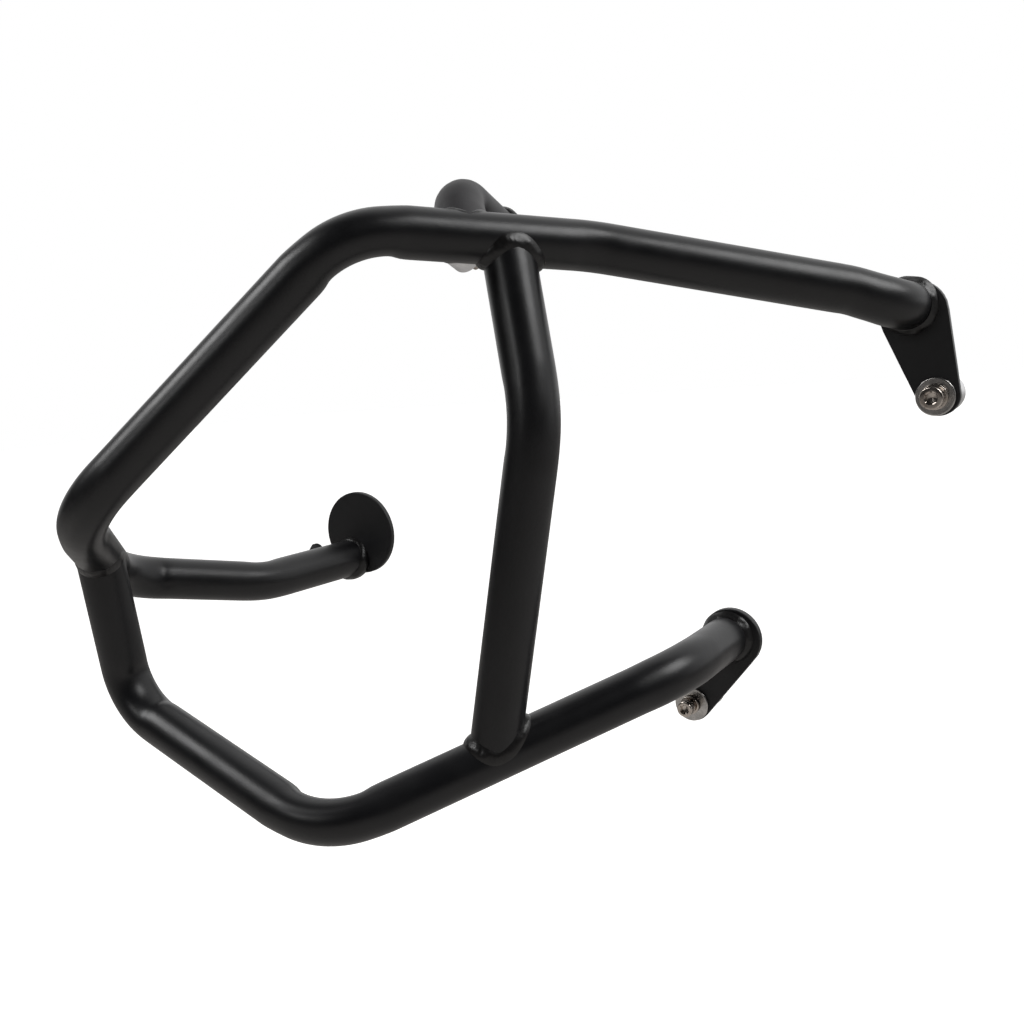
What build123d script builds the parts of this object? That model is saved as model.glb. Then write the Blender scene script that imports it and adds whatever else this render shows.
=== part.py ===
from build123d import *
import os

# Crash bar for the left side of a motorcycle, with its mounting hardware.
# X runs rearward, Y runs inboard towards the motorcycle and Z runs up.
# The origin is on the axis of the upper rear screw, on the end face of its spacer.

# Tube stock
TUBE_OD = 27.0
BRACE_OD = 28.5
WALL = 2.5
TUBE_RADIUS = TUBE_OD / 2

# Main tube: bend corners from the upper rear plate round the front to the disc
UPPER_END = Vector(-13.0, -30.0, 52.4)
UPPER_ELBOW = Vector(-13.0, -46.5, 52.4)
UPPER_JOG = Vector(-37.0, -62.5, 63.3)
TOP_KINK = Vector(-150.5, -151.0, 98.0)
TOP_CORNER = Vector(-235.0, -253.0, 113.5)
FOREMOST_CORNER = Vector(-379.0, -327.0, -23.0)
ARM_CORNER = Vector(-462.5, -240.0, -74.5)
ARM_KINK = Vector(-423.0, -151.5, -96.0)
ARM_END = Vector(-411.0, -70.5, -94.5)
MAIN_ROUTE = [
    UPPER_END, UPPER_ELBOW, UPPER_JOG, TOP_KINK, TOP_CORNER,
    FOREMOST_CORNER, ARM_CORNER, ARM_KINK, ARM_END,
]
MAIN_BEND_RADII = [23.0, 60.0, 90.0, 55.0, 50.0, 45.0, 60.0]

# Lower tube: from under the main tube round the bottom to the lower rear plate
LOWER_START_SHARE = 0.55
LOWER_FRONT_CORNER = Vector(-429.0, -266.5, -147.5)
LOWER_BOTTOM_CORNER = Vector(-271.5, -278.5, -202.5)
LOWER_REAR_CORNER = Vector(-120.5, -137.5, -139.8)
LOWER_END = Vector(-120.5, -65.0, -139.8)
LOWER_BEND_RADII = [34.0, 54.0, 50.0]

# Brace: upright between the top run and the bottom run, its axis a little inboard of theirs
BRACE_TOP_SHARE = 0.36
BRACE_KINK = Vector(-161.7, -203.9, 10.9)
BRACE_BOTTOM_SHARE = 0.465
BRACE_SET_BACK = Vector(-0.7, 1.1, -0.1)
BRACE_BEND_RADIUS = 90.0

# Stub: short tight elbow on the inboard shoulder of the top run
STUB_START_SHARE = 0.53
STUB_CORNER = Vector(-211.9, -183.7, 129.9)
STUB_DIRECTION = Vector(-0.049, 0.925, -0.377).normalized()
STUB_LEG = 41.5
STUB_BEND_RADIUS = 15.0

# Mounting plates: the round end takes the tube, the narrow end takes the screw
PLATE_THICKNESS = 5.0
PLATE_EDGE_ROUND = 0.6
UPPER_PLATE_CENTRE = Vector(-11.0, -30.0, 47.6)
UPPER_PLATE_NARROW_CENTRE = Vector(1.4, -30.0, 0.5)
UPPER_SCREW = Vector(0.0, -30.0, 0.0)
LOWER_PLATE_CENTRE = Vector(-118.5, -65.0, -140.6)
LOWER_SCREW = Vector(-146.5, -65.0, -184.5)
STUB_SCREW_OFFSET = Vector(-30.4, -2.5, -2.3)
BIG_PLATE_RADIUS = 19.0
UPPER_PLATE_NARROW_RADIUS = 11.8
LOWER_PLATE_NARROW_RADIUS = 11.5
STUB_PLATE_RADIUS = 16.0
STUB_PLATE_NARROW_RADIUS = 11.0

# Front disc, welded off centre on the end of the arm
DISC_CENTRE = Vector(-401.8, -70.5, -75.8)
DISC_RADIUS = 30.3
DISC_THICKNESS = 4.0

# Lug on the hidden shoulder of the arm
LUG_POSITION_SHARE = 0.70
LUG_OUTWARD = Vector(-0.681, 0.084, 0.728)
LUG_HEIGHT = 5.0
LUG_LENGTH = 9.0
LUG_THICKNESS = 4.0
LUG_CORNER_RADIUS = 3.5

# Weld beads
SADDLE_BEAD = 2.5
PLATE_BEAD = 3.5
DISC_BEAD = 5.0
BEAD_TAPER = 40.0
BEAD_WRAP = 1.5
BEAD_REACH = 45.0

# Screws: shank, mean thread, head, hexagon socket, clearance holes, split lock washer and spacer
M8 = dict(
    shank=8.0, thread=7.5, head=13.0, head_height=8.0, key=6.0, key_depth=4.0,
    hole=9.0, bore=8.4, lock_outside=14.8, lock_bore=8.4, lock_section=2.2, lock_rise=1.9,
    spacer=22.0,
)
M6 = dict(
    shank=6.0, thread=5.5, head=10.0, head_height=6.0, key=5.0, key_depth=3.0,
    hole=7.0, bore=6.4, lock_outside=11.8, lock_bore=6.4, lock_section=1.8, lock_rise=2.2,
    spacer=20.0,
)
THREAD_CHAMFER = 0.8
HEAD_EDGE_ROUND = 0.8
WASHER_OD = 22.0
WASHER_THICKNESS = 2.0
WASHER_EDGE = 0.3
SPACER_EDGE = 0.5
LOCK_WASHER_TURN = 0.96
CONTACT_GAP = 0.03

# Fastener stacks, measured along each screw. The lower screw is not pushed right home.
INBOARD = Vector(0, 1, 0)
UPPER_SPACER_LENGTH = 25.0
LOWER_SPACER_LENGTH = 25.0
STUB_SPACER_LENGTH = 15.0
UPPER_SCREW_FREE_END = 13.0
LOWER_SCREW_FREE_END = 12.0
STUB_SCREW_FREE_END = 13.0
LOWER_SLACK = 1.4

os.makedirs("parts", exist_ok=True)


def on_run(start, end, share):
    """The point a given share of the way from start to end."""
    return start + (end - start) * share


def rod(start, end, diameter):
    """A solid round bar between two points, used to cut copes and shape beads."""
    with BuildPart() as bar:
        with BuildSketch(Plane(origin=start, z_dir=end - start)):
            Circle(diameter / 2)
        extrude(amount=(end - start).length)
    return bar.part


def bent_tube(route, radii, outside):
    """A hollow tube along straight runs joined by tangent arcs."""
    with BuildPart() as tube:
        with BuildLine() as path:
            FilletPolyline(*route, radius=radii)
        with BuildSketch(Plane(origin=path.line @ 0, z_dir=path.line % 0)):
            Circle(outside / 2)
            Circle(outside / 2 - WALL, mode=Mode.SUBTRACT)
        sweep()
    return tube.part


def save(piece, name):
    """Name a finished piece and write its STEP file."""
    piece.part.label = name
    export_step(piece.part, f"parts/{name}.step")


# Places worked out from the routes
BRACE_TOP = on_run(TOP_KINK, TOP_CORNER, BRACE_TOP_SHARE) + BRACE_SET_BACK
BRACE_BOTTOM = on_run(LOWER_BOTTOM_CORNER, LOWER_REAR_CORNER, BRACE_BOTTOM_SHARE) + BRACE_SET_BACK
LOWER_START = on_run(FOREMOST_CORNER, ARM_CORNER, LOWER_START_SHARE)
STUB_START = on_run(TOP_KINK, TOP_CORNER, STUB_START_SHARE)
STUB_END = STUB_CORNER + STUB_DIRECTION * STUB_LEG
LUG_FOOT = on_run(ARM_KINK, ARM_END, LUG_POSITION_SHARE)

# Bars that stand for the straight runs, for cutting copes
top_run_bar = rod(TOP_KINK, TOP_CORNER, TUBE_OD)
front_run_bar = rod(FOREMOST_CORNER, ARM_CORNER, TUBE_OD)
bottom_run_bar = rod(LOWER_BOTTOM_CORNER, LOWER_REAR_CORNER, TUBE_OD)

# Main tube, its arm end cut flush with the outer face of the disc
arm_overrun = ARM_END + (ARM_END - ARM_KINK).normalized() * 5.0
arm_end_cutter = rod(ARM_END, ARM_END + INBOARD * 20.0, 2 * TUBE_OD)
main_tube_blank = bent_tube(MAIN_ROUTE[:-1] + [arm_overrun], MAIN_BEND_RADII, TUBE_OD)
with BuildPart() as main_tube:
    add(main_tube_blank)
    add(arm_end_cutter, mode=Mode.SUBTRACT)
save(main_tube, "main_tube")

# Lower tube, coped under the main tube
lower_tube_blank = bent_tube(
    [LOWER_START, LOWER_FRONT_CORNER, LOWER_BOTTOM_CORNER, LOWER_REAR_CORNER, LOWER_END],
    LOWER_BEND_RADII,
    TUBE_OD,
)
with BuildPart() as lower_tube:
    add(lower_tube_blank)
    add(front_run_bar, mode=Mode.SUBTRACT)
save(lower_tube, "lower_tube")

# Brace, coped at both ends
brace_blank = bent_tube([BRACE_TOP, BRACE_KINK, BRACE_BOTTOM], [BRACE_BEND_RADIUS], BRACE_OD)
with BuildPart() as brace_tube:
    add(brace_blank)
    add(top_run_bar, mode=Mode.SUBTRACT)
    add(bottom_run_bar, mode=Mode.SUBTRACT)
save(brace_tube, "brace_tube")

# Stub, coped on the top run
stub_blank = bent_tube([STUB_START, STUB_CORNER, STUB_END], [STUB_BEND_RADIUS], TUBE_OD)
with BuildPart() as stub_tube:
    add(stub_blank)
    add(top_run_bar, mode=Mode.SUBTRACT)
save(stub_tube, "stub_tube")


def plate(wide_centre, narrow_centre, screw, outward, wide_radius, narrow_radius, hole):
    """A teardrop plate whose outer face holds both centres, with its screw hole."""
    face = Plane(origin=wide_centre, x_dir=narrow_centre - wide_centre, z_dir=outward)
    with BuildPart() as solid:
        with BuildSketch(face):
            Circle(wide_radius)
            with Locations(face.to_local_coords(narrow_centre)):
                Circle(narrow_radius)
            make_hull()
            with Locations(face.to_local_coords(screw)):
                Circle(hole / 2, mode=Mode.SUBTRACT)
        extrude(amount=-PLATE_THICKNESS)
        across = Axis(wide_centre, outward)
        rims = solid.faces().sort_by(across)
        fillet(rims[0].edges() + rims[-1].edges(), PLATE_EDGE_ROUND)
    return solid


# Mounting plates
STUB_SCREW = STUB_END + STUB_SCREW_OFFSET
STUB_SCREW = STUB_SCREW - STUB_DIRECTION * (STUB_SCREW - STUB_END).dot(STUB_DIRECTION)
upper_rear_plate = plate(
    UPPER_PLATE_CENTRE, UPPER_PLATE_NARROW_CENTRE, UPPER_SCREW, -INBOARD,
    BIG_PLATE_RADIUS, UPPER_PLATE_NARROW_RADIUS, M8["hole"],
)
lower_rear_plate = plate(
    LOWER_PLATE_CENTRE, LOWER_SCREW, LOWER_SCREW, -INBOARD,
    BIG_PLATE_RADIUS, LOWER_PLATE_NARROW_RADIUS, M6["hole"],
)
stub_plate = plate(
    STUB_END, STUB_SCREW, STUB_SCREW, -STUB_DIRECTION,
    STUB_PLATE_RADIUS, STUB_PLATE_NARROW_RADIUS, M6["hole"],
)
save(upper_rear_plate, "upper_rear_plate")
save(lower_rear_plate, "lower_rear_plate")
save(stub_plate, "stub_plate")

# Front disc
with BuildPart() as front_disc:
    with BuildSketch(Plane(origin=DISC_CENTRE, z_dir=-INBOARD)):
        Circle(DISC_RADIUS)
    extrude(amount=-DISC_THICKNESS)
    fillet(front_disc.edges(), PLATE_EDGE_ROUND)
save(front_disc, "front_disc")

# Lug, a small rounded tongue standing on the arm
arm_direction = (ARM_END - ARM_KINK).normalized()
lug_side = LUG_OUTWARD.cross(arm_direction)
lug_plane = Plane(origin=LUG_FOOT - lug_side * LUG_THICKNESS / 2, x_dir=arm_direction, z_dir=lug_side)
lug_rise = TUBE_RADIUS + LUG_HEIGHT
arm_bar = rod(ARM_KINK, ARM_END, TUBE_OD)
with BuildPart() as arm_lug:
    with BuildSketch(lug_plane):
        with Locations((0, -lug_rise / 2)):
            Rectangle(LUG_LENGTH, lug_rise)
        fillet(vertices().group_by(Axis.Y)[0], LUG_CORNER_RADIUS)
    extrude(amount=LUG_THICKNESS)
    add(arm_bar, mode=Mode.SUBTRACT)
save(arm_lug, "arm_lug")


def saddle_bead(run_start, run_end, foot, toward, branch_od):
    """Weld round a branch tube where it lands on a straight run of the main or lower tube."""
    tip = foot + (toward - foot).normalized() * BEAD_REACH
    grown_run = rod(run_start, run_end, TUBE_OD + 2 * SADDLE_BEAD)
    grown_branch = rod(foot, tip, branch_od + 2 * SADDLE_BEAD)
    run_bar = rod(run_start, run_end, TUBE_OD)
    branch_bar = rod(foot, tip, branch_od)
    with BuildPart() as bead:
        add(grown_branch)
        add(grown_run, mode=Mode.INTERSECT)
        add(run_bar, mode=Mode.SUBTRACT)
        add(branch_bar, mode=Mode.SUBTRACT)
    return bead


def plate_bead(tube_centre, outward, tube_from, backing, outline):
    """Weld round a tube's end on a plate, kept inside the outline that carries it."""
    tube_bar = rod(tube_centre - (tube_from - tube_centre) * BEAD_WRAP, tube_from, TUBE_OD)
    with BuildPart() as bead:
        with BuildSketch(Plane(origin=tube_centre, z_dir=outward)):
            Circle(TUBE_RADIUS + PLATE_BEAD)
        extrude(amount=PLATE_BEAD, taper=BEAD_TAPER)
        add(outline, mode=Mode.INTERSECT)
        add(tube_bar, mode=Mode.SUBTRACT)
        add(backing, mode=Mode.SUBTRACT)
    return bead


# Welds between tubes
save(saddle_bead(TOP_KINK, TOP_CORNER, BRACE_TOP, BRACE_KINK, BRACE_OD), "brace_top_weld")
save(
    saddle_bead(LOWER_BOTTOM_CORNER, LOWER_REAR_CORNER, BRACE_BOTTOM, BRACE_KINK, BRACE_OD),
    "brace_bottom_weld",
)
save(
    saddle_bead(FOREMOST_CORNER, ARM_CORNER, LOWER_START, LOWER_FRONT_CORNER, TUBE_OD),
    "front_joint_weld",
)
save(saddle_bead(TOP_KINK, TOP_CORNER, STUB_START, STUB_CORNER, TUBE_OD), "stub_base_weld")


# Welds between tubes and plates
def weld_ground(face):
    """The plate's outer face grown outward, the room in which its weld may stand."""
    with BuildPart() as ground:
        extrude(face, amount=PLATE_BEAD)
    return ground.part


def outer_face(solid, outward):
    """The face that looks outward the most, which on a plate is the one that carries its weld."""
    return solid.faces().sort_by(Axis((0, 0, 0), outward))[-1]


upper_ground = weld_ground(outer_face(upper_rear_plate, -INBOARD))
lower_ground = weld_ground(outer_face(lower_rear_plate, -INBOARD))
stub_ground = weld_ground(outer_face(stub_plate, -STUB_DIRECTION))
save(
    plate_bead(UPPER_END, -INBOARD, UPPER_ELBOW, upper_rear_plate.part, upper_ground),
    "upper_rear_weld",
)
save(
    plate_bead(LOWER_END, -INBOARD, LOWER_REAR_CORNER, lower_rear_plate.part, lower_ground),
    "lower_rear_weld",
)
save(
    plate_bead(STUB_END, -STUB_DIRECTION, STUB_CORNER, stub_plate.part, stub_ground),
    "stub_plate_weld",
)

# The arm's end stands past the rim of the disc there, so its weld also caps the open crescent
with BuildPart() as front_disc_weld:
    with BuildSketch(Plane(origin=ARM_END, z_dir=-INBOARD)):
        Circle(TUBE_RADIUS + DISC_BEAD)
    extrude(amount=DISC_BEAD, taper=BEAD_TAPER)
    add(arm_bar, mode=Mode.SUBTRACT)
    with BuildSketch(Plane(origin=ARM_END, z_dir=INBOARD)):
        Circle(TUBE_RADIUS + BEAD_WRAP)
    extrude(amount=BEAD_WRAP)
    add(front_disc.part, mode=Mode.SUBTRACT)
    add(main_tube.part, mode=Mode.SUBTRACT)
save(front_disc_weld, "front_disc_weld")


def screw(seat, inward, size, head_gap, grip, free_end):
    """A socket head screw, its head a given gap off the plate and its thread past the spacer."""
    head_plane = Plane(origin=seat - inward * head_gap, z_dir=-inward)
    outward_axis = Axis(seat, -inward)
    with BuildPart() as solid:
        with BuildSketch(head_plane):
            Circle(size["head"] / 2)
        extrude(amount=size["head_height"])
        fillet(solid.edges().sort_by(outward_axis)[-1], HEAD_EDGE_ROUND)
        with BuildSketch(head_plane.offset(size["head_height"])):
            RegularPolygon(size["key"] / 2, 6, major_radius=False)
        extrude(amount=-size["key_depth"], mode=Mode.SUBTRACT)
        with BuildSketch(head_plane):
            Circle(size["shank"] / 2)
        extrude(amount=-(head_gap + grip))
        with BuildSketch(Plane(origin=seat + inward * grip, z_dir=inward)):
            Circle(size["thread"] / 2)
        extrude(amount=free_end)
        chamfer(solid.edges().sort_by(outward_axis)[0], THREAD_CHAMFER)
    return solid


def ring(base, outward, outside, bore, thickness, edge):
    """A turned ring standing on a face, with its outer corners broken."""
    with BuildPart() as solid:
        with BuildSketch(Plane(origin=base, z_dir=outward)):
            Circle(outside / 2)
        extrude(amount=thickness)
        chamfer(solid.edges().filter_by(GeomType.CIRCLE), edge)
        with BuildSketch(Plane(origin=base, z_dir=outward)):
            Circle(bore / 2)
        extrude(amount=thickness, mode=Mode.SUBTRACT)
    return solid


def lock_washer(base, outward, size):
    """A split lock washer, nearly one turn of square wire that rises across its split."""
    middle = (size["lock_outside"] + size["lock_bore"]) / 4
    start = base + outward * (size["lock_section"] / 2 + CONTACT_GAP)
    with BuildPart() as solid:
        with BuildLine() as path:
            Helix(
                pitch=size["lock_rise"], height=size["lock_rise"] * LOCK_WASHER_TURN,
                radius=middle, center=start, direction=outward,
            )
        with BuildSketch(Plane(origin=path.line @ 0, x_dir=outward, z_dir=path.line % 0)):
            Rectangle(size["lock_section"], (size["lock_outside"] - size["lock_bore"]) / 2)
        sweep(is_frenet=True)
    return solid


def fastener_set(place, seat, inward, size, spacer_length, free_end, slack):
    """Write the screw, lock washer, flat washer and spacer of one mounting plate."""
    lock_height = size["lock_section"] + size["lock_rise"] * LOCK_WASHER_TURN + 2 * CONTACT_GAP
    head_gap = WASHER_THICKNESS + lock_height + slack
    grip = PLATE_THICKNESS + spacer_length
    washer = ring(seat, -inward, WASHER_OD, size["bore"], WASHER_THICKNESS, WASHER_EDGE)
    spacer = ring(
        seat + inward * PLATE_THICKNESS, inward, size["spacer"], size["bore"], spacer_length, SPACER_EDGE
    )
    save(screw(seat, inward, size, head_gap, grip, free_end), f"{place}_screw")
    save(lock_washer(seat - inward * WASHER_THICKNESS, -inward, size), f"{place}_lock_washer")
    save(washer, f"{place}_flat_washer")
    save(spacer, f"{place}_spacer")


fastener_set(
    "upper_rear", UPPER_SCREW, INBOARD, M8, UPPER_SPACER_LENGTH, UPPER_SCREW_FREE_END, 0.0
)
fastener_set(
    "lower_rear", LOWER_SCREW, INBOARD, M6, LOWER_SPACER_LENGTH, LOWER_SCREW_FREE_END, LOWER_SLACK
)
fastener_set(
    "stub", STUB_SCREW, STUB_DIRECTION, M6, STUB_SPACER_LENGTH, STUB_SCREW_FREE_END, 0.0
)
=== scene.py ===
import math
import bmesh
import bpy
from mathutils import Matrix, Vector, noise


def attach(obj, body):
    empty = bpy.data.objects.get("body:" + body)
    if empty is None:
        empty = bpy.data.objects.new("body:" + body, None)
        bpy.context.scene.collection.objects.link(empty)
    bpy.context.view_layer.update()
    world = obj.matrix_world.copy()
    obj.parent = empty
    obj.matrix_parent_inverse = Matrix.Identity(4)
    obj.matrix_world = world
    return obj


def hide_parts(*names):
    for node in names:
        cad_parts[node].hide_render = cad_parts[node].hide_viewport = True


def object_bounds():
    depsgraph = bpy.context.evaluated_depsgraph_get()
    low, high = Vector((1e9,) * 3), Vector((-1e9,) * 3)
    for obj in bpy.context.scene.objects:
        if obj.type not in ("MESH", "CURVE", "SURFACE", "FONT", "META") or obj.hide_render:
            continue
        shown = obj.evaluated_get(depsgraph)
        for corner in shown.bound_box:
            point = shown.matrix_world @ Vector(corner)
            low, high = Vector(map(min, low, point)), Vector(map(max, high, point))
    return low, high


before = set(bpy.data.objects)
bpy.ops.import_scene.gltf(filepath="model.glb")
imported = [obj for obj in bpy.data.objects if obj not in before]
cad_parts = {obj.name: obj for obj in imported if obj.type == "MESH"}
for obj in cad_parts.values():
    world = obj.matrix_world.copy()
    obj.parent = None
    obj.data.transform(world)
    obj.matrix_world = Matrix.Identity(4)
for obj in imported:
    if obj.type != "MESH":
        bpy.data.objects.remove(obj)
cad_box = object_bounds()

# Everything is in metres, in the frame of the model: X rearward, Y inboard, Z up
MM = 0.001
INBOARD = Vector((0, 1, 0))

# Tube stock
TUBE_RADIUS = 13.5 * MM
BRACE_RADIUS = 14.25 * MM
WALL = 2.5 * MM

# Routes of the tubes, the same bend corners as in the solids
UPPER_END = Vector((-13.0, -30.0, 52.4)) * MM
UPPER_ELBOW = Vector((-13.0, -46.5, 52.4)) * MM
UPPER_JOG = Vector((-37.0, -62.5, 63.3)) * MM
TOP_KINK = Vector((-150.5, -151.0, 98.0)) * MM
TOP_CORNER = Vector((-235.0, -253.0, 113.5)) * MM
FOREMOST_CORNER = Vector((-379.0, -327.0, -23.0)) * MM
ARM_CORNER = Vector((-462.5, -240.0, -74.5)) * MM
ARM_KINK = Vector((-423.0, -151.5, -96.0)) * MM
ARM_END = Vector((-411.0, -70.5, -94.5)) * MM
MAIN_ROUTE = [
    UPPER_END, UPPER_ELBOW, UPPER_JOG, TOP_KINK, TOP_CORNER,
    FOREMOST_CORNER, ARM_CORNER, ARM_KINK, ARM_END,
]
MAIN_BEND_RADII = [23 * MM, 60 * MM, 90 * MM, 55 * MM, 50 * MM, 45 * MM, 60 * MM]

LOWER_START = FOREMOST_CORNER.lerp(ARM_CORNER, 0.55)
LOWER_FRONT_CORNER = Vector((-429.0, -266.5, -147.5)) * MM
LOWER_BOTTOM_CORNER = Vector((-271.5, -278.5, -202.5)) * MM
LOWER_REAR_CORNER = Vector((-120.5, -137.5, -139.8)) * MM
LOWER_END = Vector((-120.5, -65.0, -139.8)) * MM
LOWER_ROUTE = [LOWER_START, LOWER_FRONT_CORNER, LOWER_BOTTOM_CORNER, LOWER_REAR_CORNER, LOWER_END]
LOWER_BEND_RADII = [34 * MM, 54 * MM, 50 * MM]

BRACE_SET_BACK = Vector((-0.7, 1.1, -0.1)) * MM
BRACE_TOP = TOP_KINK.lerp(TOP_CORNER, 0.36) + BRACE_SET_BACK
BRACE_KINK = Vector((-161.7, -203.9, 10.9)) * MM
BRACE_BOTTOM = LOWER_BOTTOM_CORNER.lerp(LOWER_REAR_CORNER, 0.465) + BRACE_SET_BACK
BRACE_BEND_RADIUS = 90 * MM

STUB_START = TOP_KINK.lerp(TOP_CORNER, 0.53)
STUB_CORNER = Vector((-211.9, -183.7, 129.9)) * MM
STUB_DIRECTION = Vector((-0.049, 0.925, -0.377)).normalized()
STUB_END = STUB_CORNER + STUB_DIRECTION * 41.5 * MM
STUB_BEND_RADIUS = 15 * MM

# Plates, with their screw seats on the outer faces
PLATE_THICKNESS = 5 * MM
EDGE_ROUND = 0.7 * MM
FACE_FLAT = 0.4 * MM
UPPER_PLATE_CENTRE = Vector((-11.0, -30.0, 47.6)) * MM
UPPER_PLATE_NARROW_CENTRE = Vector((1.4, -30.0, 0.5)) * MM
UPPER_SCREW = Vector((0.0, -30.0, 0.0)) * MM
LOWER_PLATE_CENTRE = Vector((-118.5, -65.0, -140.6)) * MM
LOWER_SCREW = Vector((-146.5, -65.0, -184.5)) * MM
STUB_SCREW = STUB_END + Vector((-30.4, -2.5, -2.3)) * MM
STUB_SCREW -= STUB_DIRECTION * (STUB_SCREW - STUB_END).dot(STUB_DIRECTION)

# Front disc
DISC_CENTRE = Vector((-401.8, -70.5, -75.8)) * MM
DISC_RADIUS = 30.3 * MM
DISC_THICKNESS = 4 * MM

# Fasteners, in millimetres
M8 = dict(
    shank=8.0, head=13.0, head_height=8.0, key=6.0, key_depth=4.0, pitch=1.25,
    hole=9.0, bore=8.4, lock_outside=14.8, lock_bore=8.4, lock_section=2.2, lock_rise=1.9,
    spacer=22.0,
)
M6 = dict(
    shank=6.0, head=10.0, head_height=6.0, key=5.0, key_depth=3.0, pitch=1.0,
    hole=7.0, bore=6.4, lock_outside=11.8, lock_bore=6.4, lock_section=1.8, lock_rise=2.2,
    spacer=20.0,
)
WASHER_OD = 22.0
WASHER_THICKNESS = 2.0
LOCK_WASHER_TURN = 0.96
CONTACT_GAP = 0.03
KNURL_TEETH = 48
KNURL_DEPTH = 0.16
THREAD_DEPTH_SHARE = 0.61
THREAD_STEPS = 8

# How the bender flattens a tube: shares of its radius, and the lengths over which it begins
FLATTENING = 0.075
SIDE_SWELL = 0.02
INNER_FLAT = 0.035
OUTER_EASE = 14 * MM
INNER_EASE = 5 * MM

# Mesh fineness
TUBE_SEGMENTS = 72
TURNED_SEGMENTS = 192
STATION_STEP = 2.5 * MM
LINING_STRIDE = 4
SHARP_ANGLE = math.radians(38)


# Mesh helpers
def piece_from(name, shells, material, slot, *stands_for):
    """Make a piece from shells of points and faces, shaded smooth apart from its true edges."""
    bm = bmesh.new()
    for verts, faces in shells:
        made = [bm.verts.new(v) for v in verts]
        for face in faces:
            bm.faces.new([made[i] for i in face])
    bmesh.ops.recalc_face_normals(bm, faces=bm.faces)
    for edge in bm.edges:
        edge.smooth = edge.calc_face_angle(0) < SHARP_ANGLE
    for face in bm.faces:
        face.smooth = True
    mesh = bpy.data.meshes.new(name)
    bm.to_mesh(mesh)
    bm.free()
    mesh.materials.append(material)
    piece = bpy.data.objects.new(name, mesh)
    bpy.context.scene.collection.objects.link(piece)
    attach(piece, "root")
    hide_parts(*stands_for)
    return piece


def loft(rings, wrap=False, caps=False):
    """A skin through rings of equal count: wrap joins last to first, caps closes both ends flat."""
    count = len(rings[0])
    verts = [p for ring in rings for p in ring]
    spans = len(rings) if wrap else len(rings) - 1
    faces = []
    for i in range(spans):
        a = i * count
        b = (i + 1) % len(rings) * count
        for j in range(count):
            k = (j + 1) % count
            faces.append((a + j, a + k, b + k, b + j))
    if caps:
        faces.append(tuple(range(count))[::-1])
        faces.append(tuple(range(len(verts) - count, len(verts))))
    return verts, faces


def smooth_rise(x):
    """0 before 0, 1 after 1, and an S-curve between."""
    x = min(max(x, 0.0), 1.0)
    return x * x * (3 - 2 * x)


def any_side(direction):
    """A unit vector square to a direction."""
    helper = Vector((0, 0, 1)) if abs(direction.z) < 0.9 else Vector((1, 0, 0))
    return direction.cross(helper).normalized()


def round_corner(height, reach, radius, start, end, steps=5):
    """Profile points on an arc, each a height and a reach, from one angle to another in degrees."""
    points = []
    for i in range(steps + 1):
        angle = math.radians(start + (end - start) * i / steps)
        points.append((height + radius * math.sin(angle), reach + radius * math.cos(angle)))
    return points


def turned(centre, axis, profile, segments=TURNED_SEGMENTS):
    """Rings round an axis. A profile point is a height and a radius, or a height and its formula."""
    side = any_side(axis)
    across = axis.cross(side)
    rings = []
    for height, radius in profile:
        ring = []
        for i in range(segments):
            angle = math.tau * i / segments
            reach = radius(angle) if callable(radius) else radius
            direction = side * math.cos(angle) + across * math.sin(angle)
            ring.append(centre + axis * height + direction * reach)
        rings.append(ring)
    return rings


# Bent tubes
class BentPath:
    """Straight runs joined by tangent arcs, with the place and side of every bend."""

    def __init__(self, route, radii):
        self.points = []
        self.tangents = []
        self.lengths = []
        self.bends = []
        travelled = 0.0
        cursor = route[0].copy()
        for before, corner, after, radius in zip(route, route[1:], route[2:], radii):
            way_in = (corner - before).normalized()
            way_out = (after - corner).normalized()
            turn = way_in.angle(way_out)
            setback = radius * math.tan(turn / 2)
            arc_start = corner - way_in * setback
            travelled = self.add_run(cursor, arc_start, travelled)
            inward = (way_out - way_in * way_in.dot(way_out)).normalized()
            start = travelled
            steps = max(8, math.ceil(radius * turn / STATION_STEP))
            for i in range(steps):
                angle = turn * i / steps
                rise = inward * radius * (1 - math.cos(angle))
                self.points.append(arc_start + way_in * radius * math.sin(angle) + rise)
                self.tangents.append(way_in * math.cos(angle) + inward * math.sin(angle))
                self.lengths.append(start + radius * angle)
            travelled = start + radius * turn
            self.bends.append((start, travelled, way_in, inward, turn))
            cursor = corner + way_out * setback
        self.add_run(cursor, route[-1], travelled)
        self.points.append(route[-1].copy())
        self.tangents.append((route[-1] - route[-2]).normalized())
        self.lengths.append(travelled + (route[-1] - cursor).length)

    def add_run(self, start, end, travelled):
        """Stations along a straight run, short of its end."""
        run = end - start
        steps = max(2, math.ceil(run.length / STATION_STEP))
        for i in range(steps):
            self.points.append(start + run * i / steps)
            self.tangents.append(run.normalized())
            self.lengths.append(travelled + run.length * i / steps)
        return travelled + run.length

    def sides(self):
        """One unit vector square to the path at each station, turning with it without twist."""
        side = any_side(self.tangents[0])
        found = []
        for tangent in self.tangents:
            side = (side - tangent * side.dot(tangent)).normalized()
            found.append(side)
        return found


def bend_inward(bend, length):
    """The side a bend turns to, at a place along the path."""
    start, end, way_in, inward, turn = bend
    angle = turn * min(max((length - start) / (end - start), 0.0), 1.0)
    return inward * math.cos(angle) - way_in * math.sin(angle)


def bend_strength(bend, length, ease):
    """How far a place is into a bend, from 0 on the run to 1, over the given ease."""
    start, end, way_in, inward, turn = bend
    coming = smooth_rise((length - start) / ease + 0.5)
    leaving = smooth_rise((end - length) / ease + 0.5)
    sharpness = min(1.0, turn / math.radians(40))
    return coming * leaving * sharpness


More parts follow.
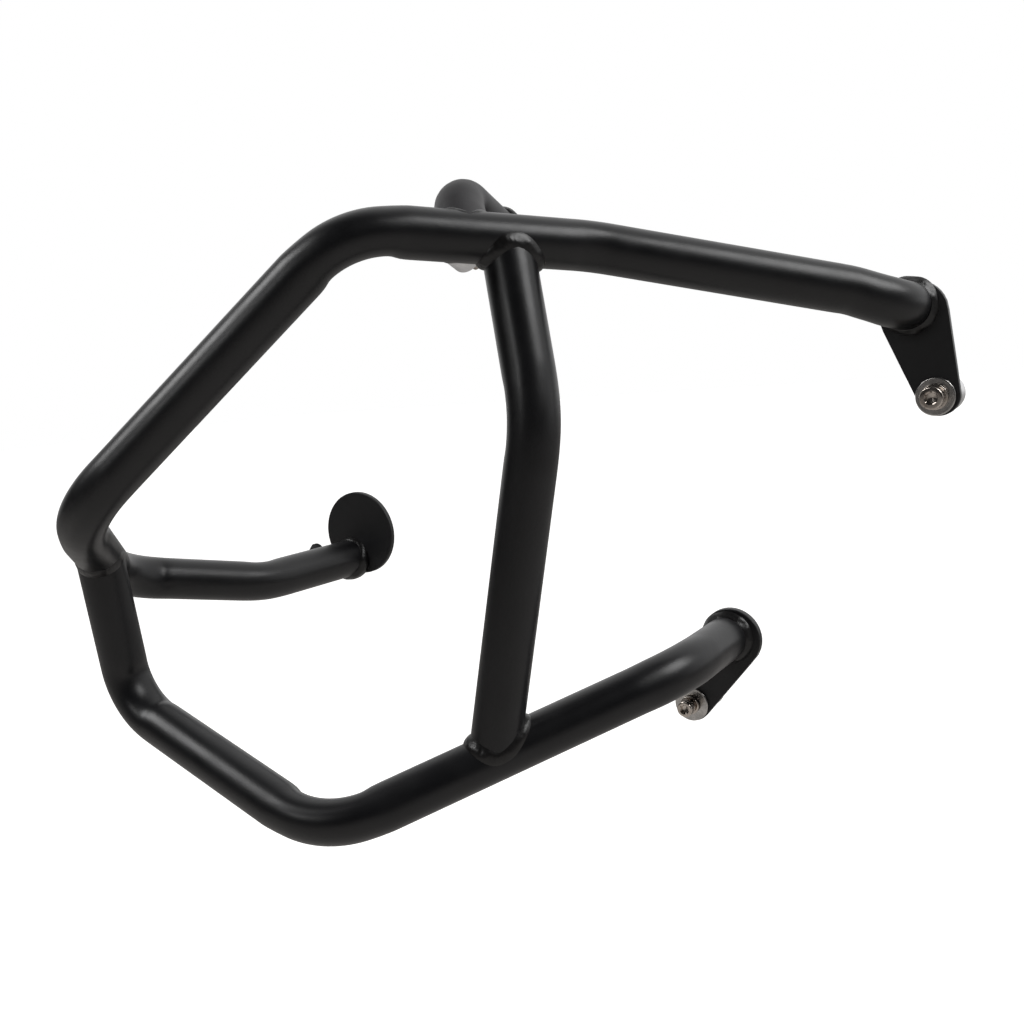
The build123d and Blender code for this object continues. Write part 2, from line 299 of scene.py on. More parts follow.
def skin_offset(path, station, direction, radius):
    """The vector from the path to the tube's skin, flattened where the tube is bent."""
    offset = direction * radius
    tangent = path.tangents[station]
    length = path.lengths[station]
    for bend in path.bends:
        outer = bend_strength(bend, length, OUTER_EASE)
        inner = bend_strength(bend, length, INNER_EASE)
        if outer == 0 and inner == 0:
            continue
        inward = bend_inward(bend, length)
        across = tangent.cross(inward)
        depth = direction.dot(inward)
        breadth = direction.dot(across)
        offset -= inward * radius * FLATTENING * outer * depth
        offset += across * radius * SIDE_SWELL * outer * breadth
        offset -= inward * radius * INNER_FLAT * inner * max(depth, 0.0) ** 2
    return offset


def tube_ring(path, station, side, radius):
    """The ring of skin points of one station."""
    tangent = path.tangents[station]
    across = tangent.cross(side)
    ring = []
    for i in range(TUBE_SEGMENTS):
        angle = math.tau * i / TUBE_SEGMENTS
        direction = side * math.cos(angle) + across * math.sin(angle)
        ring.append(path.points[station] + skin_offset(path, station, direction, radius))
    return ring


def cut_by_plane(point, normal):
    """A cutter that slides a point along a line to a plane."""
    def cutter(start, along):
        return start + along * (point - start).dot(normal) / along.dot(normal)
    return cutter


def cope_by_run(run_start, run_end, run_radius):
    """A cutter that slides a point along a line to the near skin of a straight run."""
    axis = (run_end - run_start).normalized()

    def cutter(start, along):
        offset = start - run_start
        offset -= axis * offset.dot(axis)
        flat = along - axis * along.dot(axis)
        middle = -offset.dot(flat) / flat.length_squared
        miss = (offset + flat * middle).length
        reach = math.sqrt(max(run_radius ** 2 - miss ** 2, 0.0)) / flat.length
        return start + along * (middle - reach)
    return cutter


def square_end(start, along):
    """A cutter that leaves the point where it is."""
    return start


def bent_tube(name, route, radii, radius, start_cut, end_cut, clear_start, clear_end, material, slot):
    """A hollow tube with shaped ends. The clear lengths are how much of each end its cut may take."""
    path = BentPath(route, radii)
    sides = path.sides()
    total = path.lengths[-1]
    kept = [
        i for i, s in enumerate(path.lengths)
        if clear_start <= s <= total - clear_end or i in (0, len(path.lengths) - 1)
    ]
    skins = []
    for skin_radius, stride in ((radius, 1), (radius - WALL, LINING_STRIDE)):
        chosen = kept[:1] + kept[1:-1:stride] + kept[-1:]
        rings = [tube_ring(path, i, sides[i], skin_radius) for i in chosen]
        first_way = -path.tangents[0]
        last_way = path.tangents[-1]
        rings[0] = [start_cut(p - first_way * clear_start, first_way) for p in rings[0]]
        rings[-1] = [end_cut(p - last_way * clear_end, last_way) for p in rings[-1]]
        skins.append(rings)
    piece_from(name, [loft(skins[0] + skins[1][::-1], wrap=True)], material, slot, name)


# Weld beads
RIPPLE_PITCH = 2.4 * MM
RIPPLE_HEIGHT = 0.07 * MM
RIPPLE_CURL = 0.9
BEAD_SECTION = 12
BEAD_STEP = 0.45 * MM
BEAD_SINK = 0.25 * MM
BEAD_ROOT = 0.8 * MM
BEAD_UNEVENNESS = 0.18
UNEVENNESS_SCALE = 140.0
LUMP_SCALE = 190.0
LUMP_HEIGHT = 0.45 * MM
SADDLE_EASE = 6 * MM

# How far up a branch tube the search for its saddle starts
COPE_REACH = 60 * MM


def eased(vectors, reach):
    """A closed run of vectors, each averaged with its neighbours to either side."""
    spread = int(reach / BEAD_STEP)
    count = len(vectors)
    return [
        sum((vectors[(i + k) % count] for k in range(-spread, spread + 1)), Vector()) / (2 * spread + 1)
        for i in range(count)
    ]


def bead_shell(corner_line, leg_up, leg_out, land_up, land_out, crown_height, ease=0.0):
    """A weld along a closed line of corners, each a point, its two leg ways and its normal.

    The lengths of the leg ways scale the legs and the crown, and ease rounds off sharp turns.
    """
    wanders = [noise.noise(corner[0] * UNEVENNESS_SCALE) * BEAD_UNEVENNESS for corner in corner_line]
    toes_up = [c[0] + c[1] * leg_up * (1 + w) for c, w in zip(corner_line, wanders)]
    toes_out = [c[0] + c[2] * leg_out * (1 - w) for c, w in zip(corner_line, wanders)]
    toes_up = [land_up(toe) for toe in eased(toes_up, ease)]
    toes_out = [land_out(toe) for toe in eased(toes_out, ease)]
    normals = [normal.normalized() for normal in eased([c[3] for c in corner_line], ease)]
    rings = []
    travelled = 0.0
    previous = corner_line[-1][0]
    for i, (point, up, out, _) in enumerate(corner_line):
        travelled += (point - previous).length
        previous = point
        toe_up, toe_out, normal = toes_up[i], toes_out[i], normals[i]
        middle = (toe_up + toe_out) / 2
        crown = middle + normal * 2 * crown_height * up.length * (1 + 2 * wanders[i])
        ring = []
        for k in range(BEAD_SECTION + 1):
            q = k / BEAD_SECTION
            spine = toe_up * (1 - q) ** 2 + crown * 2 * q * (1 - q) + toe_out * q ** 2
            lag = RIPPLE_CURL * RIPPLE_PITCH * (2 * q - 1) ** 2
            beat = 1 - abs(math.sin(math.pi * (travelled + lag) / RIPPLE_PITCH))
            lift = RIPPLE_HEIGHT * (0.4 - beat) * math.sin(math.pi * q)
            lumps = noise.noise(spine * LUMP_SCALE) * LUMP_HEIGHT * math.sin(math.pi * q)
            ring.append(spine + normal * (lift + lumps))
        ring.append(point - normal * BEAD_ROOT)
        rings.append(ring)
    return loft(rings, wrap=True)


def saddle_line(foot, toward, branch_radius, run_start, run_end, run_radius):
    """The corner line where a branch tube lands on a straight run."""
    axis = (toward - foot).normalized()
    run_axis = (run_end - run_start).normalized()
    side = any_side(axis)
    across = axis.cross(side)
    cope = cope_by_run(run_start, run_end, run_radius)
    count = int(math.tau * branch_radius * 1.2 / BEAD_STEP)
    line = []
    for i in range(count):
        angle = math.tau * i / count
        direction = side * math.cos(angle) + across * math.sin(angle)
        start = foot + direction * branch_radius + axis * COPE_REACH
        point = cope(start, -axis)
        run_normal = point - run_start
        run_normal = (run_normal - run_axis * run_normal.dot(run_axis)).normalized()
        line.append((point, direction, run_normal))
    return close_line(line)


def close_line(line):
    """Leg ways and normals from the two surface normals at each corner of a closed line."""
    found = []
    for i, (point, branch_normal, run_normal) in enumerate(line):
        tangent = (line[(i + 1) % len(line)][0] - line[i - 1][0]).normalized()
        up = tangent.cross(branch_normal).normalized()
        if up.dot(run_normal) < 0:
            up = -up
        out = tangent.cross(run_normal).normalized()
        if out.dot(branch_normal) < 0:
            out = -out
        found.append((point, up, out, (branch_normal + run_normal).normalized()))
    return found


def land_on_run(run_start, run_end, run_radius):
    """A landing that puts a bead's toe just under the skin of a straight run."""
    axis = (run_end - run_start).normalized()

    def land(point):
        along = run_start + axis * (point - run_start).dot(axis)
        return along + (point - along).normalized() * (run_radius - BEAD_SINK)
    return land


def land_on_plane(origin, normal):
    """A landing that puts a bead's toe just under a flat face."""
    def land(point):
        return point - normal * ((point - origin).dot(normal) + BEAD_SINK)
    return land


def plate_line(centre, outward, along, radius):
    """The corner line where a tube stands on a flat face."""
    side = any_side(along)
    across = along.cross(side)
    cutter = cut_by_plane(centre, outward)
    count = int(math.tau * radius / BEAD_STEP)
    line = []
    for i in range(count):
        angle = math.tau * i / count
        direction = side * math.cos(angle) + across * math.sin(angle)
        line.append((cutter(centre + direction * radius, along), direction, outward))
    return close_line(line)


# Materials
def fresh_material(name):
    """An empty node material with its shader, and the coordinates of the model in metres."""
    material = bpy.data.materials.new(name)
    material.use_nodes = True
    tree = material.node_tree
    shader = tree.nodes["Principled BSDF"]
    place = tree.nodes.new("ShaderNodeTexCoord").outputs["Object"]
    return material, tree, shader, place


def noise_node(tree, place, scale, detail=3.0, roughness=0.55):
    """A noise texture whose scale counts lumps to the metre."""
    node = tree.nodes.new("ShaderNodeTexNoise")
    node.inputs["Scale"].default_value = scale
    node.inputs["Detail"].default_value = detail
    node.inputs["Roughness"].default_value = roughness
    tree.links.new(place, node.inputs["Vector"])
    return node.outputs["Fac"]


def ranged(tree, value, low, high, to_low, to_high):
    """Map a value's range to another."""
    node = tree.nodes.new("ShaderNodeMapRange")
    node.inputs["From Min"].default_value = low
    node.inputs["From Max"].default_value = high
    node.inputs["To Min"].default_value = to_low
    node.inputs["To Max"].default_value = to_high
    tree.links.new(value, node.inputs["Value"])
    return node.outputs["Result"]


def blended(tree, factor, low, high):
    """Mix two colours by a factor."""
    node = tree.nodes.new("ShaderNodeMix")
    node.data_type = "RGBA"
    node.inputs["A"].default_value = (*low, 1)
    node.inputs["B"].default_value = (*high, 1)
    tree.links.new(factor, node.inputs["Factor"])
    return node.outputs["Result"]


def bumped(tree, height, distance, below=None):
    """Raise the surface by a height map, on top of another bump if there is one."""
    node = tree.nodes.new("ShaderNodeBump")
    node.inputs["Distance"].default_value = distance
    tree.links.new(height, node.inputs["Height"])
    if below is not None:
        tree.links.new(below, node.inputs["Normal"])
    return node.outputs["Normal"]


def powder_coat(name, dark, light, smooth, rough, grain):
    """Satin black powder coat: fine grain over a soft orange peel, with faint cloudiness."""
    material, tree, shader, place = fresh_material(name)
    cloud = ranged(tree, noise_node(tree, place, 28.0, 4.0), 0.35, 0.65, 0, 1)
    tree.links.new(blended(tree, cloud, dark, light), shader.inputs["Base Color"])
    polish = noise_node(tree, place, 60.0, 3.0)
    tree.links.new(ranged(tree, polish, 0.3, 0.7, smooth, rough), shader.inputs["Roughness"])
    peel = bumped(tree, noise_node(tree, place, 480.0, 2.0), 0.035 * MM)
    fine = bumped(tree, noise_node(tree, place, 2600.0, 2.0), grain, peel)
    tree.links.new(fine, shader.inputs["Normal"])
    shader.inputs["IOR"].default_value = 1.45
    return material


def bare_metal(name, dark, light, smooth, rough, streak_scale, streak_depth):
    """Bare metal with fine tool marks and a little tarnish."""
    material, tree, shader, place = fresh_material(name)
    tarnish = ranged(tree, noise_node(tree, place, 260.0, 4.0), 0.35, 0.7, 0, 1)
    tree.links.new(blended(tree, tarnish, dark, light), shader.inputs["Base Color"])
    polish = noise_node(tree, place, 700.0, 3.0)
    tree.links.new(ranged(tree, polish, 0.3, 0.7, smooth, rough), shader.inputs["Roughness"])
    marks = bumped(tree, noise_node(tree, place, streak_scale, 3.0), streak_depth)
    tree.links.new(marks, shader.inputs["Normal"])
    shader.inputs["Metallic"].default_value = 1.0
    return material


COAT_DARK = (0.0030, 0.0030, 0.0038)
COAT_LIGHT = (0.0046, 0.0046, 0.0056)
tube_coat = powder_coat("tube_coat", COAT_DARK, COAT_LIGHT, 0.31, 0.38, 0.012 * MM)
plate_coat = powder_coat("plate_coat", COAT_DARK, COAT_LIGHT, 0.40, 0.47, 0.014 * MM)
coated_weld = powder_coat(
    "coated_weld", (0.0030, 0.0029, 0.0032), (0.0054, 0.0048, 0.0048), 0.29, 0.37, 0.010 * MM
)
# The stub's coat is a lighter copy of the powder coat: its raised base colour is painted light, standing in
# for the light the stub catches, and its roughness is set higher.
stub_coat_with_painted_light = powder_coat("stub_coat_with_painted_light", (0.012, 0.011, 0.013), (0.016, 0.0145, 0.016), 0.46, 0.54, 0.008 * MM)
stainless = bare_metal("stainless", (0.40, 0.35, 0.31), (0.62, 0.57, 0.52), 0.10, 0.19, 1800.0, 0.002 * MM)
washer_steel = bare_metal(
    "washer_steel", (0.38, 0.37, 0.36), (0.56, 0.54, 0.52), 0.18, 0.28, 1500.0, 0.003 * MM
)
turned_aluminium = bare_metal(
    "turned_aluminium", (0.66, 0.66, 0.67), (0.78, 0.78, 0.78), 0.36, 0.48, 1600.0, 0.006 * MM
)

# Tubes
top_run_cope = cope_by_run(TOP_KINK, TOP_CORNER, TUBE_RADIUS)
bottom_run_cope = cope_by_run(LOWER_BOTTOM_CORNER, LOWER_REAR_CORNER, TUBE_RADIUS)
front_run_cope = cope_by_run(FOREMOST_CORNER, ARM_CORNER, TUBE_RADIUS)
arm_end_cut = cut_by_plane(ARM_END, INBOARD)
bent_tube(
    "main_tube", MAIN_ROUTE, MAIN_BEND_RADII, TUBE_RADIUS,
    square_end, arm_end_cut, 0, 5 * MM, tube_coat, "powder_coat",
)
bent_tube(
    "lower_tube", LOWER_ROUTE, LOWER_BEND_RADII, TUBE_RADIUS,
    front_run_cope, square_end, 20 * MM, 0, tube_coat, "powder_coat",
)
bent_tube(
    "brace_tube", [BRACE_TOP, BRACE_KINK, BRACE_BOTTOM], [BRACE_BEND_RADIUS], BRACE_RADIUS,
    top_run_cope, bottom_run_cope, 24 * MM, 30 * MM, tube_coat, "powder_coat",
)
# The stub gets the lighter coat, whose raised base colour is painted light.
bent_tube(
    "stub_tube", [STUB_START, STUB_CORNER, STUB_END], [STUB_BEND_RADIUS], TUBE_RADIUS,
    top_run_cope, square_end, 18 * MM, 0, stub_coat_with_painted_light, "powder_coat_smooth",
)


# Welds
def weld(name, *shells):
    """One coated weld made of its shells."""
    piece_from(name, shells, coated_weld, "coated_weld", name)


def saddle_weld(name, foot, toward, branch_radius, run, leg_up, leg_out, crown, fill=0.0):
    """The weld round a branch tube on a straight run, its legs longer where the saddle peaks."""
    line = saddle_line(foot, toward, branch_radius, *run, TUBE_RADIUS)
    axis = (toward - foot).normalized()
    depths = [(point - foot).dot(axis) for point, _, _, _ in line]
    lowest, highest = min(depths), max(depths)
    for i, (point, up, out, normal) in enumerate(line):
        peak = smooth_rise((highest - depths[i]) / (highest - lowest)) ** 2
        line[i] = (point, up * (1 + fill * peak), out, normal)
    on_branch = land_on_run(foot, toward, branch_radius)
    on_run = land_on_run(*run, TUBE_RADIUS)
    weld(name, bead_shell(line, leg_up, leg_out, on_branch, on_run, crown, SADDLE_EASE))


def plate_weld(name, end, outward, leg_up, leg_out, crown):
    """The weld round a tube's square end on a plate."""
    line = plate_line(end, outward, outward, TUBE_RADIUS)
    on_tube = land_on_run(end, end + outward, TUBE_RADIUS)
    weld(name, bead_shell(line, leg_up, leg_out, on_tube, land_on_plane(end, outward), crown))


TOP_RUN = (TOP_KINK, TOP_CORNER)
BOTTOM_RUN = (LOWER_BOTTOM_CORNER, LOWER_REAR_CORNER)
FRONT_RUN = (FOREMOST_CORNER, ARM_CORNER)
saddle_weld(
    "brace_top_weld", BRACE_TOP, BRACE_KINK, BRACE_RADIUS, TOP_RUN,
    3.2 * MM, 4.4 * MM, 0.7 * MM, fill=1.7,
)
saddle_weld(
    "brace_bottom_weld", BRACE_BOTTOM, BRACE_KINK, BRACE_RADIUS, BOTTOM_RUN,
    2.7 * MM, 4.4 * MM, 0.6 * MM, fill=1.4,
)
saddle_weld(
    "front_joint_weld", LOWER_START, LOWER_FRONT_CORNER, TUBE_RADIUS, FRONT_RUN,
    3.4 * MM, 4.2 * MM, 0.35 * MM,
)
saddle_weld(
    "stub_base_weld", STUB_START, STUB_CORNER, TUBE_RADIUS, TOP_RUN, 1.8 * MM, 2.0 * MM, 0.3 * MM
)
plate_weld("upper_rear_weld", UPPER_END, -INBOARD, 4.2 * MM, 3.4 * MM, 0.25 * MM)
plate_weld("lower_rear_weld", LOWER_END, -INBOARD, 4.2 * MM, 3.4 * MM, 0.25 * MM)
plate_weld("stub_plate_weld", STUB_END, -STUB_DIRECTION, 2.4 * MM, 2.2 * MM, 0.5 * MM)

# The arm's end stands past the rim of the disc, so its weld also closes the open crescent
arm_way = (ARM_KINK - ARM_END).normalized()
arm_end_line = []
for point, up, out, normal in plate_line(ARM_END, -INBOARD, arm_way, TUBE_RADIUS):
    height = (point - ARM_END).z / TUBE_RADIUS
    fullness = smooth_rise((1 - height) / 2)
    arm_end_line.append((point, up * (0.4 + 1.2 * fullness), out * (0.5 + 0.3 * fullness), normal))
CRESCENT_CAP = [
    (-1.4 * MM, 8.0 * MM), (-1.4 * MM, 13.0 * MM), (-1.1 * MM, 14.3 * MM),
    (-0.4 * MM, 14.9 * MM), (0.3 * MM, 14.6 * MM), (0.4 * MM, 13.0 * MM),
]
weld(
    "front_disc_weld",
    bead_shell(
        arm_end_line, 6.0 * MM, 3.4 * MM, land_on_run(ARM_END, ARM_KINK, TUBE_RADIUS),
        land_on_plane(ARM_END, -INBOARD), 0.95 * MM,
    ),
    loft(turned(ARM_END, -INBOARD, CRESCENT_CAP), caps=True),
)


# Plates
def hull_reach(start, direction, first, second, steps=60):
    """How far a ray goes inside the hull of two circles, each a centre and a radius, in its plane."""
    far = 0.0
    for i in range(steps + 1):
        share = i / steps
        offset = start - first[0].lerp(second[0], share)
        radius = first[1] + (second[1] - first[1]) * share
        along = offset.dot(direction)
        inside = along * along - offset.length_squared + radius * radius
        if inside > 0:
            far = max(far, math.sqrt(inside) - along)
    return far


def edge_profile(thickness, radius, flat):
    """Heights and insets of a rounded slab edge, with a narrow flat that keeps the faces even."""
    front = [(-radius + height, radius - reach) for height, reach in round_corner(0, 0, radius, 90, 0)]
    back = [(-thickness - height, inset) for height, inset in front[::-1]]
    return [(0.0, radius + flat)] + front + back + [(-thickness, radius + flat)]


def teardrop_plate(place, wide, narrow, screw_seat, outward, hole):
    """A plate whose outline is the hull of two circles, with rounded edges and its screw hole."""
    side = any_side(outward)
    across = outward.cross(side)
    hole_radius = hole / 2 * MM
    rings = []
    for height, radius in (
        (-PLATE_THICKNESS, hole_radius + 0.8 * MM), (-PLATE_THICKNESS, hole_radius + 0.3 * MM),
        (-PLATE_THICKNESS + 0.3 * MM, hole_radius), (-0.3 * MM, hole_radius),
        (0, hole_radius + 0.3 * MM), (0, hole_radius + 0.8 * MM),
    ):
        rings += turned(screw_seat, outward, [(height, radius)])
    reaches = []
    for i in range(TURNED_SEGMENTS):
        angle = math.tau * i / TURNED_SEGMENTS
        direction = side * math.cos(angle) + across * math.sin(angle)
        reaches.append((direction, hull_reach(screw_seat, direction, wide, narrow)))
    for height, inset in edge_profile(PLATE_THICKNESS, EDGE_ROUND, FACE_FLAT):
        rings.append([
            screw_seat + outward * height + direction * (reach - inset)
            for direction, reach in reaches
        ])
    name = f"{place}_plate"
    piece_from(name, [loft(rings, wrap=True)], plate_coat, "powder_coat", name)


teardrop_plate(
    "upper_rear", (UPPER_PLATE_CENTRE, 19.0 * MM), (UPPER_PLATE_NARROW_CENTRE, 11.79 * MM),
    UPPER_SCREW, -INBOARD, M8["hole"],
)
teardrop_plate(
    "lower_rear", (LOWER_PLATE_CENTRE, 19.0 * MM), (LOWER_SCREW, 11.5 * MM),
    LOWER_SCREW, -INBOARD, M6["hole"],
)
teardrop_plate(
    "stub", (STUB_END, 16.0 * MM), (STUB_SCREW, 11.0 * MM), STUB_SCREW, -STUB_DIRECTION, M6["hole"],
)
disc_profile = [(0, 6 * MM)]
disc_profile += [(h, DISC_RADIUS - inset) for h, inset in edge_profile(DISC_THICKNESS, EDGE_ROUND, FACE_FLAT)]
disc_profile += [(-DISC_THICKNESS, 6 * MM)]
piece_from(
    "front_disc", [loft(turned(DISC_CENTRE, -INBOARD, disc_profile), caps=True)],
    plate_coat, "powder_coat", "front_disc",
)


# Fasteners: heights run outward from the plate's outer face, in millimetres
def in_metres(profile):
    """A profile in millimetres turned into metres."""
    def scaled(radius):
        return (lambda angle: radius(angle) * MM) if callable(radius) else radius * MM
    return [(height * MM, scaled(radius)) for height, radius in profile]


def hexagon(key):
    """The radius of a hexagon of a given key size, for any angle."""
    def radius(angle):
        return key / 2 / math.cos((angle + math.pi / 6) % (math.pi / 3) - math.pi / 6)
    return radius


def knurled(outside):
    """The radius of a straight knurl, for any angle."""
    def radius(angle):
        tooth = angle * KNURL_TEETH / math.tau % 1.0
        return outside - KNURL_DEPTH * abs(2 * tooth - 1)
    return radius


def threaded(outside, pitch, height):
    """The radius of a screw thread at a height, for any angle."""
    depth = pitch * THREAD_DEPTH_SHARE

    def radius(angle):
        turn = (height / pitch - angle / math.tau) % 1.0
        flank = min(max(abs(2 * turn - 1) * 1.3 - 0.13, 0.0), 1.0)
        return outside - depth * (1 - flank)
    return radius


def screw_profile(size, head_gap, grip, free_end):
    """The skin of a socket head screw, from the floor of its socket to its thread's end."""
    head = size["head"] / 2
    shank = size["shank"] / 2
    key = size["key"]
    top = head_gap + size["head_height"]
    floor_height = top - size["key_depth"]
    corner = key / 2 / math.cos(math.pi / 6)
    profile = [(floor_height - 0.7, 0.3), (floor_height, key / 2 - 0.5), (floor_height, hexagon(key))]
    profile += [(top - 0.45, hexagon(key)), (top, corner + 0.25), (top, corner + 0.55)]
    profile += round_corner(top - 0.8, head - 0.8, 0.8, 90, 0)
    profile += [(top - 1.3, head), (top - 1.5, knurled(head)), (head_gap + 1.0, knurled(head))]
    profile += [(head_gap + 0.8, head), (head_gap + 0.35, head), (head_gap, head - 0.35)]
    profile += [(head_gap, shank + 0.4), (head_gap - 0.4, shank), (-grip, shank)]
    steps = int((free_end - 0.8) / size["pitch"] * THREAD_STEPS)
    for i in range(steps + 1):
        height = -grip - 0.2 - (free_end - 1.0) * i / steps
        profile.append((height, threaded(shank, size["pitch"], height)))
    root = shank - size["pitch"] * THREAD_DEPTH_SHARE
    profile += [(-grip - free_end + 0.5, root), (-grip - free_end, root - 0.4)]
    return in_metres(profile)


def lock_washer_shell(base, outward, size):
    """A split ring of square wire with eased edges, rising across its split."""
    middle = (size["lock_outside"] + size["lock_bore"]) / 4
    half_width = (size["lock_outside"] - size["lock_bore"]) / 4
    half_height = size["lock_section"] / 2
    ease = 0.3
    side = any_side(outward)
    across = outward.cross(side)
    section = []
    for quarter, (sign_w, sign_h) in enumerate(((1, 1), (-1, 1), (-1, -1), (1, -1))):
        for step in range(4):
            angle = math.radians(90 * quarter + 30 * step)
            wide = sign_w * (half_width - ease) + ease * math.cos(angle)
            tall = sign_h * (half_height - ease) + ease * math.sin(angle)
            section.append((wide, tall))
    rings = []
    for i in range(121):
        share = i / 120 * LOCK_WASHER_TURN
        direction = side * math.cos(share * math.tau) + across * math.sin(share * math.tau)
        lift = half_height + CONTACT_GAP + size["lock_rise"] * share
        rings.append([
            base + (direction * (middle + wide) + outward * (lift + tall)) * MM
            for wide, tall in section
        ])
    return loft(rings, caps=True)


def ring_profile(outside, bore, thickness, edge, far_edge):
    """The closed section of a ring: eased by one radius at its base and by another at its top."""
    radius = outside / 2
    profile = [(0.3, bore / 2), (0.0, bore / 2 + 0.3), (0.0, radius - edge - 0.3)]
    profile += round_corner(edge, radius - edge, edge, -90, 0)
    profile += round_corner(thickness - far_edge, radius - far_edge, far_edge, 0, 90)
    profile += [(thickness, radius - far_edge - 0.3), (thickness, bore / 2 + 0.3)]
    profile += [(thickness - 0.3, bore / 2)]
    return in_metres(profile)


def fastener_set(place, seat, inward, size, spacer_length, free_end, slack):
    """The screw, lock washer, flat washer and spacer of one mounting plate."""
    outward = -inward
    lock_height = size["lock_section"] + size["lock_rise"] * LOCK_WASHER_TURN + 2 * CONTACT_GAP
    head_gap = WASHER_THICKNESS + lock_height + slack
    grip = PLATE_THICKNESS / MM + spacer_length
    profile = screw_profile(size, head_gap, grip, free_end)
    name = f"{place}_screw"
    piece_from(name, [loft(turned(seat, outward, profile), caps=True)], stainless, "bright_screw", name)
    name = f"{place}_lock_washer"
    shell = lock_washer_shell(seat + outward * WASHER_THICKNESS * MM, outward, size)
    piece_from(name, [shell], stainless, "bright_screw", name)
    name = f"{place}_flat_washer"
    profile = ring_profile(WASHER_OD, size["bore"], WASHER_THICKNESS, 0.25, 0.6)
    piece_from(name, [loft(turned(seat, outward, profile), wrap=True)], washer_steel, "washer_steel", name)
    name = f"{place}_spacer"
    profile = ring_profile(size["spacer"], size["bore"], spacer_length, 0.3, 0.3)
    base = seat + inward * PLATE_THICKNESS
    shell = loft(turned(base, inward, profile), wrap=True)
    piece_from(name, [shell], turned_aluminium, "spacer_aluminium", name)


fastener_set("upper_rear", UPPER_SCREW, INBOARD, M8, spacer_length=25.0, free_end=13.0, slack=0.0)
fastener_set("lower_rear", LOWER_SCREW, INBOARD, M6, spacer_length=25.0, free_end=12.0, slack=1.4)
fastener_set("stub", STUB_SCREW, STUB_DIRECTION, M6, spacer_length=15.0, free_end=13.0, slack=0.0)

# The lug keeps its solid
for lug_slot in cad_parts["arm_lug"].material_slots:
    lug_slot.material = tube_coat

# Floor, well below the part, which hangs from its mounts
FLOOR_DROP = 0.45
FLOOR_SIZE = 30.0
BACKGROUND_GLOW = 0.92
BACKDROP_GLOW = 1.0
BACKDROP_SIDE = 0.45
ROOM_GLOW = 0.03
ROOM_SIDE = -0.1


def seen_by(tree, *ray_kinds):
    """1 for the given kinds of ray, else 0."""
    rays = tree.nodes.new("ShaderNodeLightPath")
    value = rays.outputs[ray_kinds[0]]
    for kind in ray_kinds[1:]:
        node = tree.nodes.new("ShaderNodeMath")
        node.operation = "MAXIMUM"
        tree.links.new(value, node.inputs[0])
        tree.links.new(rays.outputs[kind], node.inputs[1])
        value = node.outputs[0]
    return value


def floor_material():
    """A plain matt floor that also glows for the camera, so that only a faint shadow is left."""
    material, tree, shader, place = fresh_material("studio_floor")
    tone = ranged(tree, noise_node(tree, place, 3.0), 0.3, 0.7, 0, 1)
    colour = blended(tree, tone, (0.54, 0.52, 0.50), (0.57, 0.55, 0.53))
    tree.links.new(colour, shader.inputs["Base Color"])
    shader.inputs["Roughness"].default_value = 0.9
    shader.inputs["Emission Color"].default_value = (1, 1, 1, 1)
    glow = ranged(tree, seen_by(tree, "Is Camera Ray"), 0, 1, 0, BACKGROUND_GLOW)
    tree.links.new(glow, shader.inputs["Emission Strength"])
    return material


def studio_floor():
    """A plain floor."""
    mesh = bpy.data.meshes.new("floor")
    half = FLOOR_SIZE / 2
    height = cad_box[0].z - FLOOR_DROP
    corners = [(-half, -half, height), (half, -half, height), (half, half, height), (-half, half, height)]
    mesh.from_pydata(corners, [], [(0, 1, 2, 3)])
    mesh.materials.append(floor_material())
    floor = bpy.data.objects.new("floor", mesh)
    bpy.context.scene.collection.objects.link(floor)


studio_floor()


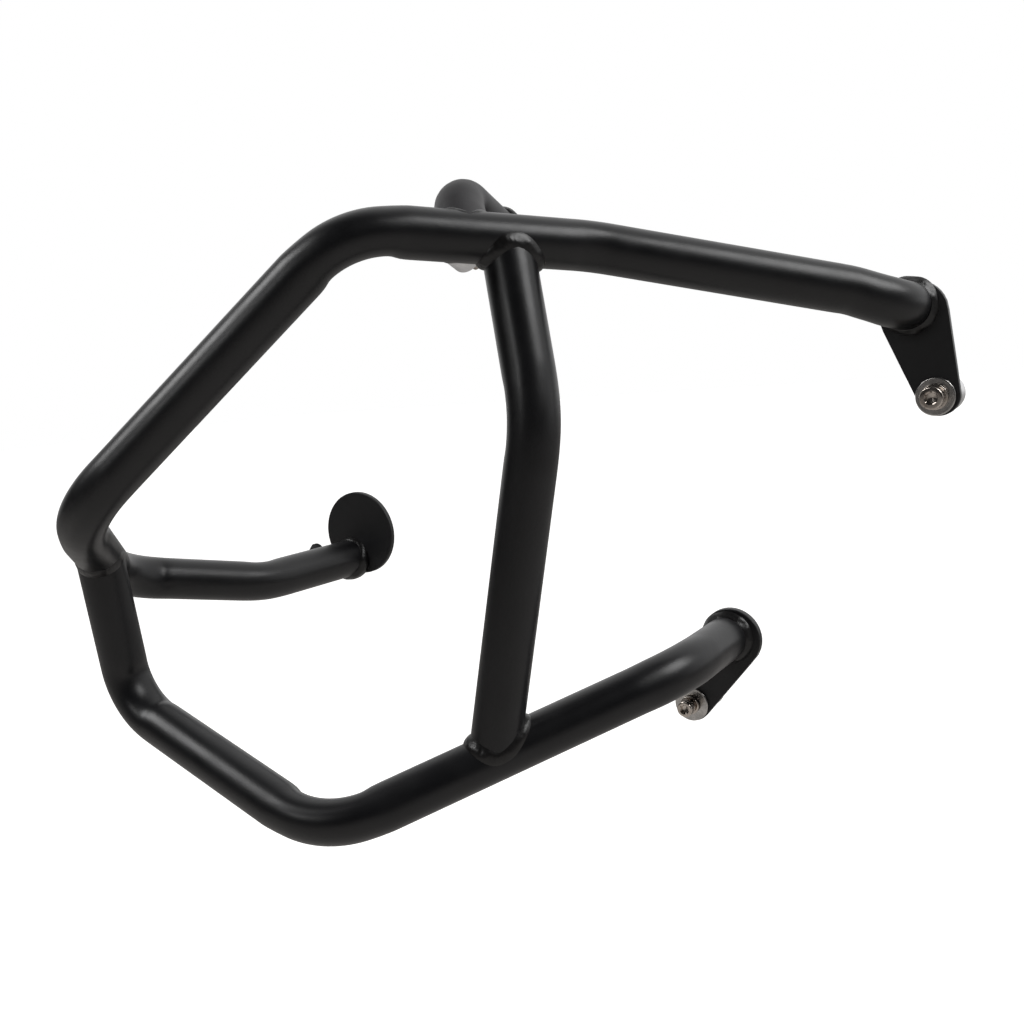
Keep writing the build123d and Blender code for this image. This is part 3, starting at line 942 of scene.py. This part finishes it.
def studio_world():
    """White for the camera. As light, a white backdrop behind the part and a dark room in front."""
    world = bpy.data.worlds.new("studio")
    world.use_nodes = True
    tree = world.node_tree
    background = tree.nodes["Background"]
    background.inputs["Color"].default_value = (1, 1, 1, 1)
    axes = tree.nodes.new("ShaderNodeSeparateXYZ")
    tree.links.new(tree.nodes.new("ShaderNodeTexCoord").outputs["Generated"], axes.inputs[0])
    backdrop = ranged(tree, axes.outputs["Y"], ROOM_SIDE, BACKDROP_SIDE, ROOM_GLOW, BACKDROP_GLOW)
    mix = tree.nodes.new("ShaderNodeMix")
    tree.links.new(seen_by(tree, "Is Camera Ray", "Is Transmission Ray"), mix.inputs["Factor"])
    tree.links.new(backdrop, mix.inputs["A"])
    mix.inputs["B"].default_value = 1.0
    tree.links.new(mix.outputs["Result"], background.inputs["Strength"])
    bpy.context.scene.world = world


studio_world()


def softbox(name, towards, distance, size, power):
    """A square area lamp that faces the middle of the part from a given direction."""
    lamp = bpy.data.lights.new(name, "AREA")
    lamp.shape = "SQUARE"
    lamp.size = size
    lamp.energy = power
    middle = (cad_box[0] + cad_box[1]) / 2
    carrier = bpy.data.objects.new(name, lamp)
    carrier.location = middle + Vector(towards).normalized() * distance
    carrier.rotation_mode = "QUATERNION"
    carrier.rotation_quaternion = (-Vector(towards)).to_track_quat("-Z", "Y")
    bpy.context.scene.collection.objects.link(carrier)


softbox("left_box", (-0.61, -0.50, 0.62), distance=2.2, size=0.9, power=20)
softbox("right_box", (0.74, 0.04, 0.68), distance=2.2, size=1.1, power=26)
softbox("front_box", (-0.27, -0.88, 0.40), distance=2.4, size=0.5, power=4)

# Camera, level on its side axis and tipped a little down
CAMERA_PLACE = Vector((0.1277, -0.692, 0.0414))
CAMERA_RIGHT = Vector((0.84783, 0.52334, -0.08551))
CAMERA_UP = Vector((0.0, 0.16126, 0.98691))
FOCAL_LENGTH = 38.67

camera = bpy.data.objects.new("camera", bpy.data.cameras.new("camera"))
camera.data.lens = FOCAL_LENGTH
camera.data.clip_start = 0.01
camera_axes = Matrix((CAMERA_RIGHT, CAMERA_UP, CAMERA_RIGHT.cross(CAMERA_UP))).transposed()
camera.matrix_world = Matrix.Translation(CAMERA_PLACE) @ camera_axes.to_4x4()
bpy.context.scene.collection.objects.link(camera)
bpy.context.scene.camera = camera

bpy.context.scene.view_settings.view_transform = "Standard"
